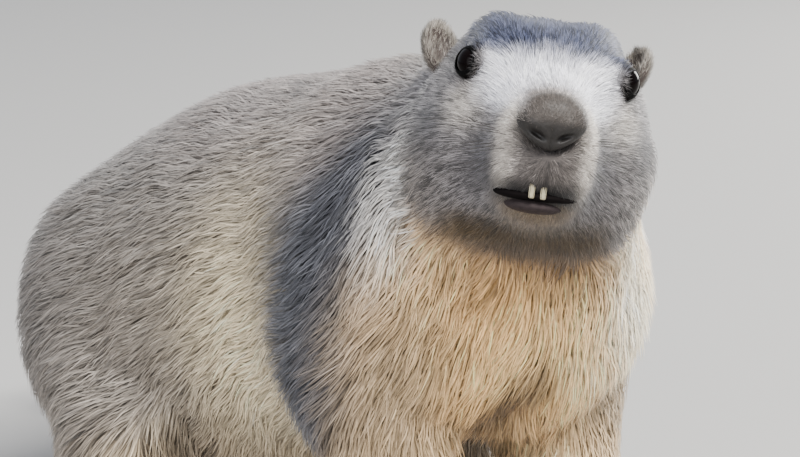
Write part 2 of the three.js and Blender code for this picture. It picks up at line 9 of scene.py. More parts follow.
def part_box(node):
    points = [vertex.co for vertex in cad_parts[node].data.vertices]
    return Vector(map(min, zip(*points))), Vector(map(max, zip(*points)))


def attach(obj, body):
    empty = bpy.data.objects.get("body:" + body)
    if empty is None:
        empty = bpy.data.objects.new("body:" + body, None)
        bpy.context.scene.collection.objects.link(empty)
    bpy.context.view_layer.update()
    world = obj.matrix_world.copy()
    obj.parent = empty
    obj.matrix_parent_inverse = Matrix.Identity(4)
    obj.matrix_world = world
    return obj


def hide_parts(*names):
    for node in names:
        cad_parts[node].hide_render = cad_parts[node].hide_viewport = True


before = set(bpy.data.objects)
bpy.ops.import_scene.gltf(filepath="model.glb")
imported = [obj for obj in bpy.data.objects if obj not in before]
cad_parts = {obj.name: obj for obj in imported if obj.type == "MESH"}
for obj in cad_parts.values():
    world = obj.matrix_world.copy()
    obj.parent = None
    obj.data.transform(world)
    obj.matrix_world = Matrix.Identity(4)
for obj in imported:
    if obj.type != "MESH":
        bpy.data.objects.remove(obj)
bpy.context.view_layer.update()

# How the head is held. The two eyes and the nose give its own axes: x to the animal's left, y to the
# back of the skull, z to the crown, with its origin between ears and eyes. Millimetres, as a carver
# would mark them on the skull.
eye_spot = {side: sum(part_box(f"eye_{side}"), Vector()) / 2 for side in ("right", "left")}
nose_spot = sum(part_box("nose"), Vector()) / 2
EYE_AT = np.array([24.77, -18.48, 11.7])
NOSE_AT = np.array([0.0, -58.24, -2.34])
between_eyes = (eye_spot["right"] + eye_spot["left"]) / 2
head_x = (eye_spot["left"] - eye_spot["right"]).normalized()
to_nose = nose_spot - between_eyes
to_nose = (to_nose - head_x * to_nose.dot(head_x)).normalized()
nose_pitch = math.atan2(NOSE_AT[2] - EYE_AT[2], EYE_AT[1] - NOSE_AT[1])
head_z0 = head_x.cross(-to_nose)
head_y = (-to_nose * math.cos(nose_pitch) + head_z0 * math.sin(nose_pitch)).normalized()
head_z = head_x.cross(head_y)
head_axes = np.array([head_x, head_y, head_z])
head_origin = np.array(between_eyes) - (head_axes.T @ np.array([0, EYE_AT[1], EYE_AT[2]])) / 1000


def in_head(places):
    return (places - head_origin) @ head_axes.T * 1000


def from_head(x, y, z):
    return Vector(head_origin + head_axes.T @ np.array([x, y, z]) / 1000)


# The photograph's view: from the animal's right front, a little above its eyes, about a metre off.
# The eyes' midpoint is set on its place in the frame, given in the photograph's pixels from its middle.
VIEW_TURN, VIEW_RISE, VIEW_DISTANCE = math.radians(-30), math.radians(12), 1.1
PIXELS_A_METRE, PICTURE_WIDTH, SENSOR_WIDTH = 3000, 800, 36
EYES_RIGHT_OF_MIDDLE, EYES_ABOVE_MIDDLE = 148.5, 156
toward_camera = Vector((
    math.sin(VIEW_TURN) * math.cos(VIEW_RISE),
    -math.cos(VIEW_TURN) * math.cos(VIEW_RISE),
    math.sin(VIEW_RISE)))
view_right = Vector((math.cos(VIEW_TURN), math.sin(VIEW_TURN), 0))
view_up = toward_camera.cross(view_right)
aim = between_eyes - view_right * (EYES_RIGHT_OF_MIDDLE / PIXELS_A_METRE)
aim -= view_up * (EYES_ABOVE_MIDDLE / PIXELS_A_METRE)
camera = bpy.data.objects.new("camera", bpy.data.cameras.new("camera"))
bpy.context.scene.collection.objects.link(camera)
camera.rotation_mode = "QUATERNION"
camera.location = aim + toward_camera * VIEW_DISTANCE
camera.rotation_quaternion = toward_camera.to_track_quat("Z", "Y")
camera.data.sensor_width = SENSOR_WIDTH
camera.data.lens = SENSOR_WIDTH * PIXELS_A_METRE * VIEW_DISTANCE / PICTURE_WIDTH
camera.data.clip_start = 0.05
bpy.context.scene.camera = camera

# Studio: a pale paper floor under a pale sky. A soft key light stands above and to the right of the
# view, a fill low to its left, and a rim light low beyond the animal's left side.
FLOOR_REACH = 6
STUDIO_MIDDLE = Vector((0, -0.05, 0.12))
floor_mesh = bmesh.new()
bmesh.ops.create_grid(floor_mesh, x_segments=2, y_segments=2, size=FLOOR_REACH)
floor_data = bpy.data.meshes.new("floor")
floor_mesh.to_mesh(floor_data)
floor_mesh.free()
floor = bpy.data.objects.new("floor", floor_data)
bpy.context.scene.collection.objects.link(floor)
paper = bpy.data.materials.new("pale_paper")
paper.use_nodes = True
paper.node_tree.nodes["Principled BSDF"].inputs["Base Color"].default_value = (0.36, 0.35, 0.335, 1)
paper.node_tree.nodes["Principled BSDF"].inputs["Roughness"].default_value = 0.9
floor_data.materials.append(paper)


def soft_light(name, turn, rise, distance, size, power, colour):
    data = bpy.data.lights.new(name, "AREA")
    data.size, data.energy, data.color = size, power, colour
    lamp = bpy.data.objects.new(name, data)
    bpy.context.scene.collection.objects.link(lamp)
    a, e = math.radians(turn), math.radians(rise)
    way = Vector((math.sin(a) * math.cos(e), -math.cos(a) * math.cos(e), math.sin(e)))
    lamp.rotation_mode = "QUATERNION"
    lamp.location = STUDIO_MIDDLE + way * distance
    lamp.rotation_quaternion = way.to_track_quat("Z", "Y")


soft_light("key", 6, 52, 1.8, 0.8, 88, (1.0, 0.985, 0.955))
soft_light("fill", -62, 14, 2.2, 1.6, 38, (0.98, 0.98, 1.0))
soft_light("rim", 105, 16, 2.0, 0.9, 62, (1.0, 0.98, 0.93))
world = bpy.data.worlds.new("studio")
world.use_nodes = True
world.node_tree.nodes["Background"].inputs["Color"].default_value = (0.8, 0.85, 0.94, 1)
world.node_tree.nodes["Background"].inputs["Strength"].default_value = 1.15
bpy.context.scene.world = world


# Markings of the coat, shared by skin and hair: charcoal crown, near-white bridge, pale ring round a
# dark nose, grizzled cheeks, olive throat darkened by painted shade under the chin, cream chest, flank
# and forelegs, a white streak and then a charcoal band behind the cheek, salt-and-pepper back and a
# dark end to the tail. Some further marks are painted shade, and one a painted rim of light; each is
# said where it is laid.
SCREEN_GAMMA, RICHNESS, PIGMENT_DEPTH = 2.2, 0.98, 1.4


def tone(red, green, blue):
    """The pigment, in linear light, under a colour as it is seen: darker, and so richer"""
    seen = (np.array([red, green, blue]) / 255) ** SCREEN_GAMMA
    grey = seen.mean()
    return np.clip(grey + (seen - grey) * RICHNESS, 0, 1) ** PIGMENT_DEPTH


def ramp(value, low, high):
    t = np.clip((value - low) / (high - low), 0, 1)
    return t * t * (3 - 2 * t)


def patch(places, centre, radii):
    return np.exp(-(((places - np.array(centre)) / np.array(radii)) ** 2).sum(1))


def stroke(places, points, radius):
    least = np.full(len(places), 1e9)
    for a, b in zip(np.array(points[:-1], float), np.array(points[1:], float)):
        along = np.clip(((places - a) @ (b - a)) / ((b - a) @ (b - a)), 0, 1)
        least = np.minimum(least, np.linalg.norm(places - a - along[:, None] * (b - a), axis=1))
    return np.exp(-((least / radius) ** 2))


def ripple(places, size, seed):
    """A smooth random value between -1 and 1 that changes over about the size given"""
    draw = np.random.default_rng(seed)
    total = np.zeros(len(places))
    for _ in range(7):
        way = draw.normal(size=3)
        total += np.sin(places @ (way / np.linalg.norm(way)) * (2 * math.pi / size) * draw.uniform(0.6, 1.6)
                        + draw.uniform(0, 6.3))
    return total / 3.5


def firm(mask, gain):
    """A mask made stronger, so that it is full over its middle"""
    return np.clip(gain * mask, 0, 1)


def one_side(head):
    """Places of both sides of the head laid on its left one"""
    return np.hstack([np.abs(head[:, :1]), head[:, 1:]])


def oblong(head, middle, radii):
    """A mask across the face with flat middle and quick edges, by its middle and radii in x and z"""
    across, upward = (head[:, 0] - middle[0]) / radii[0], (head[:, 2] - middle[1]) / radii[1]
    return np.exp(-(across ** 4 + upward ** 4))


def headness(head):
    """1 on the head, fading to 0 over the nape and throat"""
    return ramp(-(head[:, 1] * 0.86 - head[:, 2] * 0.5), -42, -22) * ramp(head[:, 2], -62, -44)


def tail_share(body):
    """0 on the rump to 1 past the root of the tail"""
    return ramp(body[:, 1] - 0.5 * body[:, 2], 78, 105)


def markings(places):
    """Main colour, light part and dark part of the agouti at each place (metres)"""
    body = places * 1000
    folded = body.copy()
    folded[:, 0] = -np.abs(body[:, 0])
    head = in_head(places)
    face = one_side(head)
    colour = np.tile(tone(142, 136, 130), (len(places), 1))
    light = np.full(len(places), 0.3)
    dark = np.full(len(places), 0.3)

    def lay(mask, shade, pale=None, sooty=None):
        nonlocal colour, light, dark
        colour = colour * (1 - mask[:, None]) + shade * mask[:, None]
        if pale is not None:
            light = light * (1 - mask) + pale * mask
            dark = dark * (1 - mask) + sooty * mask

    wander = 6 * ripple(body, 45, 5)
    hind_part = ramp(body[:, 1], -75, -20)
    lay(ramp(body[:, 2] + wander, 84, 40) * (1 - 0.75 * hind_part), tone(188, 168, 136), 0.3, 0.12)
    lay(ramp(body[:, 1], 0, 80) * 0.5, tone(122, 115, 109), 0.3, 0.4)
    lay(ramp(body[:, 2], 150, 185) * 0.6, tone(156, 146, 142), 0.36, 0.34)
    cream_flank = firm(patch(folded, (-66, -92, 100), (32, 30, 58)), 1.2)
    lay(cream_flank * 0.9, tone(242, 226, 194), 0.35, 0.05)
    lay(firm(patch(folded, (-75, -30, 105), (40, 40, 45)), 1.1) * 0.5, tone(176, 166, 152), 0.4, 0.25)
    chest = ramp(-body[:, 1], 160, 186) * ramp(body[:, 2], 205, 170) * ramp(body[:, 2], 50, 80)
    lay(chest, tone(251, 206, 146), 0.28, 0.08)
    forearm = ramp(-body[:, 1], 128, 150) * ramp(body[:, 2], 96, 76)
    lay(forearm, tone(232, 206, 168), 0.3, 0.1)
    lay(firm(patch(folded, (-48, -178, 108), (26, 24, 50)), 1.2), tone(186, 166, 138), 0.3, 0.2)
    lay(firm(patch(body, (4, -206, 112), (38, 26, 32)), 1.2), tone(254, 222, 172), 0.3, 0.03)
    # A brown spot on the chest: brown hair, and partly painted shade among the locks.
    lay(patch(body, (-33, -204, 136), (13, 20, 9)) * 0.7, tone(166, 136, 98), 0.15, 0.2)
    # The throat below the chin: olive hair, darkened with painted shade under the head.
    lay(firm(patch(body, (-16, -228, 168), (36, 26, 12)), 1.3) * 0.95, tone(92, 74, 36), 0.1, 0.25)
    band = [(-52, -160, 192), (-58, -160, 172), (-69, -140, 148), (-71, -140, 124), (-68, -138, 88)]
    band_edge = 1.35 + 0.3 * ripple(body, 17, 31)
    lay(firm(stroke(folded, band, 21), band_edge) * 0.92, tone(89, 92, 101), 0.32, 0.38)
    # Painted light: a near-white rim of light down the far side of the neck and chest.
    lay(firm(patch(body, (48, -206, 146), (22, 26, 42)), 1.6), tone(255, 251, 232), 0.3, 0.0)
    # A dark brown spot under the throat: brown hair, and partly painted shade among the locks.
    lay(patch(body, (-6, -222, 150), (9, 16, 8)) * 0.8, tone(98, 68, 38), 0.1, 0.25)
    # Painted shade: the crease between the forelegs is coloured dark olive-brown.
    painted_shade_between_forelegs = firm(patch(body, (-6, -194, 94), (11, 26, 19)), 1.7)
    lay(painted_shade_between_forelegs, tone(72, 50, 26), 0.0, 0.3)
    on_tail = tail_share(body)
    lay(on_tail, tone(118, 102, 84), 0.3, 0.35)
    lay(on_tail * ramp(body[:, 1], 195, 235), tone(44, 36, 32), 0.03, 0.3)
    feet = ramp(-body[:, 2], -30, -14) * (1 - on_tail)
    lay(feet, tone(164, 146, 118), 0.3, 0.15)

    on_head = headness(head)
    lay(on_head, tone(134, 130, 130), 0.42, 0.42)
    lay(on_head * patch(face, (42, 2, -32), (16, 26, 18)) * 0.6, tone(146, 138, 130), 0.4, 0.35)
    # Under the jaw: olive hair, darkened with painted shade under the chin.
    olive_throat_and_chin_shade = ramp(-head[:, 2], 33, 42) * ramp(-face[:, 0], -34, -24)
    lay(on_head * olive_throat_and_chin_shade * 0.95, tone(92, 75, 36), 0.15, 0.2)
    lay(on_head * patch(face, (27, -23, -3), (8, 9, 8)) * 0.9, tone(190, 184, 176), 0.3, 0.1)
    lay(on_head * patch(face, (37, -12, -9), (9, 14, 10)) * 0.7, tone(80, 81, 88), 0.2, 0.4)
    bridge = ramp(-head[:, 1], 8, 20) * ramp(head[:, 2], -5, 3) * ramp(-face[:, 0], -25, -19)
    lay(on_head * bridge, tone(230, 229, 234), 0.25, 0.05)
    crown = ramp(head[:, 2] + 1.2 * ripple(head, 9, 9) + 0.12 * head[:, 1], 10.5, 16.5)
    lay(on_head * crown, tone(70, 76, 99), 0.42, 0.42)
    lay(on_head * ramp(head[:, 1], 18, 34) * ramp(head[:, 2], 5, 15), tone(96, 94, 98), 0.35, 0.35)
    streak = [(-46, -170, 188), (-49, -171, 173), (-52, -174, 160), (-50, -181, 148)]
    lay(firm(stroke(folded, streak, 6.2), 1.7) * 0.97, tone(244, 240, 234), 0.35, 0.0)
    lay(firm(patch(folded, (-44, -190, 150), (12, 16, 15)), 1.3) * 0.8, tone(238, 208, 166), 0.3, 0.06)
    ring = ramp(-head[:, 1], 37, 46) * ramp(head[:, 2], -31, -26)
    lay(on_head * ring * ramp(np.abs(head[:, 0]), 7, 14), tone(214, 206, 196), 0.2, 0.06)
    lay(on_head * ring * ramp(-np.abs(head[:, 0]), -14, -7), tone(150, 143, 138), 0.2, 0.15)
    shadow = patch(face, (20, -38, -18), (7, 14, 13))
    lay(on_head * shadow * 0.8, tone(100, 99, 104), 0.1, 0.2)
    snout = oblong(head, (0, -1), (14, 13)) * ramp(-head[:, 1], 44, 52)
    lay(snout, tone(90, 84, 79), 0.08, 0.25)
    lip = oblong(head, (0, -17), (11, 7)) * ramp(-head[:, 1], 44, 52)
    lay(lip * 0.85, tone(112, 106, 103), 0.1, 0.2)
    chin = oblong(head, (0, -33), (16, 5)) * ramp(-head[:, 1], 30, 40)
    lay(chin * 0.8, tone(128, 112, 86), 0.15, 0.2)
    # Painted shade: along the mouth the coat and skin are near-black, as the shade of its opening.
    painted_gape_shade = oblong(head, (-1, -26.6), (17.5, 4.6)) * ramp(-head[:, 1], 32, 40)
    lay(painted_gape_shade, tone(40, 34, 34), 0.0, 0.0)
    # Painted shade: a dark line down the groove under the nose.
    lay(stroke(head, [(0, -64, -9), (0, -58, -23)], 1.0), tone(50, 44, 42), 0.0, 0.0)
    ear_zone = ramp(face[:, 0], 26, 30) * ramp(head[:, 1], 3, 8) * ramp(head[:, 2], 3, 8)
    lay(ear_zone, tone(134, 128, 120), 0.35, 0.3)
    lay(ramp(-np.linalg.norm(face - EYE_AT, axis=1), -8.2, -6.6), tone(44, 38, 36), 0.0, 0.3)
    lay(on_head * stroke(face, [(27, -12, 12), (34, 12, 12)], 4) * 0.7, tone(78, 74, 74), 0.2, 0.35)
    return colour, light, dark


# Body without its hair: one skin of soft tissue from nose to tail tip. It is melted from the solids
# of the body, then drawn in by the depth of the coat, little on face and feet and most on the tail.
SWELL, SKIN_VOXEL, ABOVE_FLOOR = 0.0004, 0.002, 0.0004
INWARD_STEPS, UNDERFUR_AND_PAINTED_SHADE = 6, 0.66
FLESH = [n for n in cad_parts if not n.startswith(("eye", "ear", "nose", "incisor"))]
raw = bmesh.new()
for name in FLESH:
    part = bmesh.new()
    part.from_mesh(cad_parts[name].data)
    bmesh.ops.remove_doubles(part, verts=part.verts, dist=1e-6)
    part.normal_update()
    for v in part.verts:
        v.co += v.normal * SWELL
    copy = bpy.data.meshes.new("copy")
    part.to_mesh(copy)
    raw.from_mesh(copy)
    part.free()
    bpy.data.meshes.remove(copy)
raw_data = bpy.data.meshes.new("raw")
raw.to_mesh(raw_data)
raw.free()
raw_object = bpy.data.objects.new("raw", raw_data)
bpy.context.scene.collection.objects.link(raw_object)
melt = raw_object.modifiers.new("melt", "REMESH")
melt.mode = "VOXEL"
melt.voxel_size = SKIN_VOXEL
skin_data = bpy.data.meshes.new_from_object(raw_object.evaluated_get(bpy.context.evaluated_depsgraph_get()))
bpy.data.objects.remove(raw_object)
skin_data.name = "skin"
shell = bmesh.new()
shell.from_mesh(skin_data)
islands, seen = [], set()
for start in shell.verts:
    if start in seen:
        continue
    island, edge_front = {start}, [start]
    while edge_front:
        v = edge_front.pop()
        for e in v.link_edges:
            w = e.other_vert(v)
            if w not in island:
                island.add(w)
                edge_front.append(w)
    seen |= island
    islands.append(island)
for island in sorted(islands, key=len)[:-1]:
    bmesh.ops.delete(shell, geom=list(island), context="VERTS")
bmesh.ops.recalc_face_normals(shell, faces=shell.faces)
shell.to_mesh(skin_data)
shell.free()

vertex_count = len(skin_data.vertices)
place = np.empty(vertex_count * 3)
skin_data.vertices.foreach_get("co", place)
place = place.reshape(-1, 3)
edges = np.empty(len(skin_data.edges) * 2, int)
skin_data.edges.foreach_get("vertices", edges)
edges = edges.reshape(-1, 2)
degree = np.bincount(edges.ravel(), minlength=vertex_count)[:, None]


def neighbour_mean(values):
    total = np.zeros_like(values)
    for k in range(values.shape[1]):
        total[:, k] = np.bincount(edges[:, 0], values[edges[:, 1], k], vertex_count)
        total[:, k] += np.bincount(edges[:, 1], values[edges[:, 0], k], vertex_count)
    return total / degree


def skin_normals():
    skin_data.vertices.foreach_set("co", place.ravel())
    skin_data.update()
    found = np.empty(vertex_count * 3)
    skin_data.vertices.foreach_get("normal", found)
    return found.reshape(-1, 3)


def coat_length(places):
    """Hair length in mm at each place in metres"""
    body, head = places * 1000, in_head(places)
    length = np.full(len(places), 17.0)
    length += 4 * ramp(body[:, 1], 20, 90) + 3 * ramp(-body[:, 1], 150, 185)
    length = length * (1 - ramp(-body[:, 2], -70, -30)) + 11 * ramp(-body[:, 2], -70, -30)
    belly = ramp(-body[:, 2], -90, -60) * ramp(60 - np.abs(body[:, 0]), 0, 25)
    length = length * (1 - belly) + 14 * belly
    feet = ramp(-body[:, 2], -30, -14) * (1 - tail_share(body))
    length = length * (1 - feet) + 4.5 * feet
    length = length * (1 - tail_share(body)) + 27 * tail_share(body)
    on_head = headness(head)
    hair = 5.5 + 6.5 * ramp(head[:, 1], -26, 15)
    hair += 4 * ramp(np.abs(head[:, 0]), 26, 44) * ramp(head[:, 1], -15, 10)
    hair -= 2.2 * ramp(-head[:, 1], 34, 48)
    face = one_side(head)
    hair *= 1 - 0.6 * np.exp(-((np.linalg.norm(face - EYE_AT, axis=1) / 9.5) ** 4))
    hair *= 1 - 0.4 * patch(face, (34, 6, 12), (9, 12, 12))
    return length * (1 - on_head) + hair * on_head


def coat_depth(places):
    """How far the skin lies inside the tips of the coat, in mm"""
    body, head = places * 1000, in_head(places)
    length = coat_length(places)
    depth = 0.34 * length
    depth = depth * (1 - tail_share(body)) + 0.3 * length * tail_share(body)
    face = one_side(head)
    depth -= 0.5 * headness(head) * ramp(-head[:, 1], 30, 45)
    depth += 9 * patch(body, (-4, -192, 88), (10, 18, 18))
    return depth - 6.0 * patch(face, (18, 2, 25), (11, 22, 10))


muzzle = headness(in_head(place)) * ramp(-in_head(place)[:, 1], 2, 16)
toes = ramp(-place[:, 2] * 1000, -34, -18) * (1 - tail_share(place * 1000))
detail = np.clip(muzzle + toes, 0, 1)[:, None]
hind = np.maximum(tail_share(place * 1000), 0.6 * ramp(place[:, 1] * 1000, -90, -60))[:, None] * (1 - detail)
for steps, share in ((3, np.ones_like(detail)), (27, 1 - detail), (40, hind)):
    pull = 0.5 * share
    for _ in range(steps):
        place = place * (1 - pull) + neighbour_mean(place) * pull
depth = coat_depth(place)[:, None] / 1000
for _ in range(INWARD_STEPS):
    place = place - skin_normals() * depth / INWARD_STEPS
    pull = 0.5 * (1 - 0.75 * detail)
    for _ in range(2):
        place = place * (1 - pull) + neighbour_mean(place) * pull
place[:, 2] = np.maximum(place[:, 2], ABOVE_FLOOR)
skin_data.vertices.foreach_set("co", place.ravel())
skin_data.update()

skin = bpy.data.objects.new("skin", skin_data)
bpy.context.scene.collection.objects.link(skin)
skin_data.polygons.foreach_set("use_smooth", np.ones(len(skin_data.polygons), bool))


def unwrap(piece):
    """Lays the piece's own surface out flat as OFBake"""
    piece.data.uv_layers.new(name="OFBake")
    bpy.context.view_layer.objects.active = piece
    piece.select_set(True)
    bpy.ops.object.mode_set(mode="EDIT")
    bpy.ops.mesh.select_all(action="SELECT")
    bpy.ops.uv.smart_project(angle_limit=math.radians(60), island_margin=0.001)
    bpy.ops.object.mode_set(mode="OBJECT")
    piece.select_set(False)


def stain(data, colours):
    """Stores a colour for each vertex, which the coat's materials read"""
    values = np.hstack([colours, np.ones((len(colours), 1))])
    data.attributes.new("coat_colour", "FLOAT_COLOR", "POINT").data.foreach_set("color", values.ravel())


unwrap(skin)
# The skin is the markings darkened: darker underfur, and partly painted shade deep under the hair.
stain(skin_data, markings(place)[0] * UNDERFUR_AND_PAINTED_SHADE)


def hair_material(name, roughness, sheen, bump):
    made = bpy.data.materials.new(name)
    made.use_nodes = True
    nodes, links = made.node_tree.nodes, made.node_tree.links
    shader = nodes["Principled BSDF"]
    shader.inputs["Roughness"].default_value = roughness
    shader.inputs["Specular IOR Level"].default_value = 0.28
    shader.inputs["Sheen Weight"].default_value = sheen
    shader.inputs["Sheen Roughness"].default_value = 0.5
    colour = nodes.new("ShaderNodeAttribute")
    colour.attribute_name = "coat_colour"
    coordinate = nodes.new("ShaderNodeTexCoord")
    fleck = nodes.new("ShaderNodeTexNoise")
    fleck.inputs["Scale"].default_value = 900
    fleck.inputs["Detail"].default_value = 3
    links.new(coordinate.outputs["Object"], fleck.inputs["Vector"])
    strength = nodes.new("ShaderNodeMapRange")
    strength.inputs["To Min"].default_value = 0.72
    strength.inputs["To Max"].default_value = 1.25
    links.new(fleck.outputs["Fac"], strength.inputs["Value"])
    mixed = nodes.new("ShaderNodeVectorMath")
    mixed.operation = "SCALE"
    links.new(colour.outputs["Color"], mixed.inputs[0])
    links.new(strength.outputs["Result"], mixed.inputs["Scale"])
    links.new(mixed.outputs["Vector"], shader.inputs["Base Color"])
    relief = nodes.new("ShaderNodeBump")
    relief.inputs["Strength"].default_value = bump
    relief.inputs["Distance"].default_value = 0.0006
    links.new(fleck.outputs["Fac"], relief.inputs["Height"])
    links.new(relief.outputs["Normal"], shader.inputs["Normal"])
    return made


skin_data.materials.clear()
skin_data.materials.append(hair_material("underfur_and_skin", 0.75, 0.1, 0.5))
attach(skin, "root")
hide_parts(*FLESH)


# Claws: strong, dark and blunt, four on each forefoot and five on each hind foot, curved down to the
# ground. Each follows its toe, whose tip is found on the solid foot.
def finish_of(name, colour, roughness, coat=0.0, grain=0.0, scale=400):
    made = bpy.data.materials.new(name)
    made.use_nodes = True
    nodes, links = made.node_tree.nodes, made.node_tree.links
    shader = nodes["Principled BSDF"]
    shader.inputs["Roughness"].default_value = roughness
    shader.inputs["Coat Weight"].default_value = coat
    shader.inputs["Coat Roughness"].default_value = 0.05
    coordinate = nodes.new("ShaderNodeTexCoord")
    noise = nodes.new("ShaderNodeTexNoise")
    noise.inputs["Scale"].default_value = scale
    noise.inputs["Detail"].default_value = 5
    links.new(coordinate.outputs["Object"], noise.inputs["Vector"])
    blend = nodes.new("ShaderNodeMix")
    blend.data_type = "RGBA"
    blend.inputs[6].default_value = (*[0.6 * c for c in colour], 1)
    blend.inputs[7].default_value = (*[min(1, 1.3 * c) for c in colour], 1)
    links.new(noise.outputs["Fac"], blend.inputs[0])
    links.new(blend.outputs[2], shader.inputs["Base Color"])
    relief = nodes.new("ShaderNodeBump")
    relief.inputs["Strength"].default_value = grain
    relief.inputs["Distance"].default_value = 0.0004
    links.new(noise.outputs["Fac"], relief.inputs["Height"])
    links.new(relief.outputs["Normal"], shader.inputs["Normal"])
    return made


def settle(name, mesh, material, slot, *stands_for):
    """Puts a finished bmesh in the scene, smooth and riding on the body"""
    bmesh.ops.recalc_face_normals(mesh, faces=mesh.faces)
    data = bpy.data.meshes.new(name)
    mesh.to_mesh(data)
    mesh.free()
    data.polygons.foreach_set("use_smooth", np.ones(len(data.polygons), bool))
    data.materials.append(material)
    made = bpy.data.objects.new(name, data)
    bpy.context.scene.collection.objects.link(made)
    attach(made, "root")
    if stands_for:
        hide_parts(*stands_for)
    return made


CLAW_LENGTH, CLAW_WIDTH, CLAW_DROOP, CLAW_SIDES, HALF_TOE = 11, 4.2, 0.34, 10, 3.2
FEET = {"fore": ((-1.5, -0.5, 0.5, 1.5), 7, 9, 33), "hind": ((-2, -1, 0, 1, 2), 6.6, 7, 37)}
claw_finish = finish_of("dark_horn", (0.035, 0.028, 0.024), 0.35, 0.2, 0.3, 500)
claw_lines = []
for foot_name, (toes, toe_spacing, toe_spread, palm_behind) in FEET.items():
    for side_name in ("right", "left"):
        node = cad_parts[f"{foot_name}_foot_{side_name}"]
        spots = np.array([v.co for v in node.data.vertices]) * 1000
        palm = np.array([(spots[:, 0].min() + spots[:, 0].max()) / 2, spots[:, 1].min() + palm_behind, 0])
        horn = bmesh.new()
        for toe in toes:
            angle = math.radians(toe_spread * toe)
            heading = np.array([math.sin(angle), -math.cos(angle), 0])
            start = palm + np.array([toe_spacing * toe, 0, 0])
            across = np.array([heading[1], -heading[0], 0])
            along_toe = (spots - start) @ heading
            beside = np.abs((spots - start) @ across)
            tip = spots[np.argmax(np.where(beside < HALF_TOE, along_toe, -1e9))] + np.array([0, 0, 0.6])
            base = tip - heading * CLAW_LENGTH + np.array([0, 0, CLAW_DROOP * CLAW_LENGTH])
            claw_lines.append((tip, base))
            rings = []
            for share in np.linspace(0, 1, 8):
                droop = CLAW_DROOP * CLAW_LENGTH * share ** 2
                middle = base + heading * CLAW_LENGTH * share - np.array([0, 0, droop])
                radius = CLAW_WIDTH / 2 * (1 - 0.86 * share ** 1.3)
                rings.append([horn.verts.new((middle + across * 0.85 * radius * math.cos(a)
                                              + np.array([0, 0, 1.1 * radius * math.sin(a)])) / 1000)
                              for a in np.linspace(0, 2 * math.pi, CLAW_SIDES, endpoint=False)])
            for lower, upper in zip(rings[:-1], rings[1:]):
                for k in range(CLAW_SIDES):
                    horn.faces.new((lower[k - 1], lower[k], upper[k], upper[k - 1]))
            horn.faces.new(rings[0][::-1])
            horn.faces.new(rings[-1])
        for v in horn.verts:
            v.co.z = max(v.co.z, 0.0002)
        settle(f"claws_{foot_name}_{side_name}", horn, claw_finish, "nose")


# Coat: hair in fine tufts rooted in the skin, long blades that bend over on the body and short straight
# ones on face and feet. Neighbours draw together at their tips and share a tint, as real locks do.
def coat_density(places):
    """Relative number of tufts per square mm"""
    body, head = places * 1000, in_head(places)
    on_head = headness(head)
    wanted = 1 + 0.25 * ramp(-body[:, 1], 110, 160)
    wanted = wanted * (1 - on_head) + on_head * (1 + 0.7 * ramp(-head[:, 1], 5, 30))
    face = one_side(head)
    bare = np.exp(-((np.linalg.norm(face - EYE_AT, axis=1) / 6.8) ** 8))
    nose_reach = (head[:, 0] / 11) ** 2 + ((head[:, 1] + 59) / 7) ** 2 + ((head[:, 2] + 3) / 9) ** 2
    nose = np.exp(-nose_reach ** 4)
    mouth = oblong(head, (-1, -26.2), (13.5, 2.6)) * ramp(-head[:, 1], 32, 42)
    lip = oblong(head, (-1, -29.5), (9.5, 4)) * ramp(-head[:, 1], 40, 46)
    sole = ramp(-body[:, 2], -2.5, -1.2)
    for tip, root in claw_lines:
        wanted = wanted * ramp(np.sqrt(-np.log(stroke(body, [tip, root], 1.0) + 1e-30)), 2.2, 2.9)
    return wanted * (1 - bare) * (1 - nose) * (1 - mouth) * (1 - lip) * (1 - sole)


def lie_of_coat(places, normals):
    """Direction in which the hair runs, along the skin"""
    body, head = places * 1000, in_head(places)
    side = np.clip(np.abs(body[:, 0]) / 70, 0, 1)
    way = np.stack([0.12 * np.sign(body[:, 0]) * side, np.ones(len(body)), -0.25 - 0.45 * side], 1)

    def turn_to(share, direction):
        nonlocal way
        way = way * (1 - share[:, None]) + np.asarray(direction, float) * share[:, None]

    turn_to(ramp(-body[:, 2], -120, -60), (0, 0.55, -1.0))
    down = np.stack([0.012 * body[:, 0], np.full(len(body), 0.15), np.full(len(body), -1.0)], 1)
    turn_to(ramp(-body[:, 1] + 0.3 * body[:, 2], 175, 225) * ramp(body[:, 2], 215, 185), down)
    turn_to(ramp(-body[:, 1], 105, 140) * ramp(-body[:, 2], -110, -85), (0, -0.05, -1.0))
    turn_to(ramp(-body[:, 2], -34, -16) * (1 - tail_share(body)), (0, -1.0, -0.25))
    turn_to(tail_share(body), (0.22, 1.0, -0.12))
    swept = head - NOSE_AT
    swept[:, 1] += 16
    swept[:, 2] *= 0.8
    swept /= np.linalg.norm(swept, axis=1)[:, None]
    combed = np.stack([0.45 * np.sign(head[:, 0]) * ramp(np.abs(head[:, 0]), 4, 30), np.ones(len(head)),
                       -0.6 * ramp(-head[:, 2], -5, 20)], 1)
    combed /= np.linalg.norm(combed, axis=1)[:, None]
    toward_back = ramp(head[:, 1], -42, -8)[:, None]
    way /= np.linalg.norm(way, axis=1)[:, None]
    turn_to(ramp(headness(head), 0.1, 0.9), (swept * (1 - toward_back) + combed * toward_back) @ head_axes)
    turn = 0.26 * ripple(body, 26, 3) + 0.16 * ripple(body, 9, 4)
    way += np.cross(normals, way) * turn[:, None]
    way -= normals * (way * normals).sum(1)[:, None]
    return way / (np.linalg.norm(way, axis=1)[:, None] + 1e-9)


draw = np.random.default_rng(20)


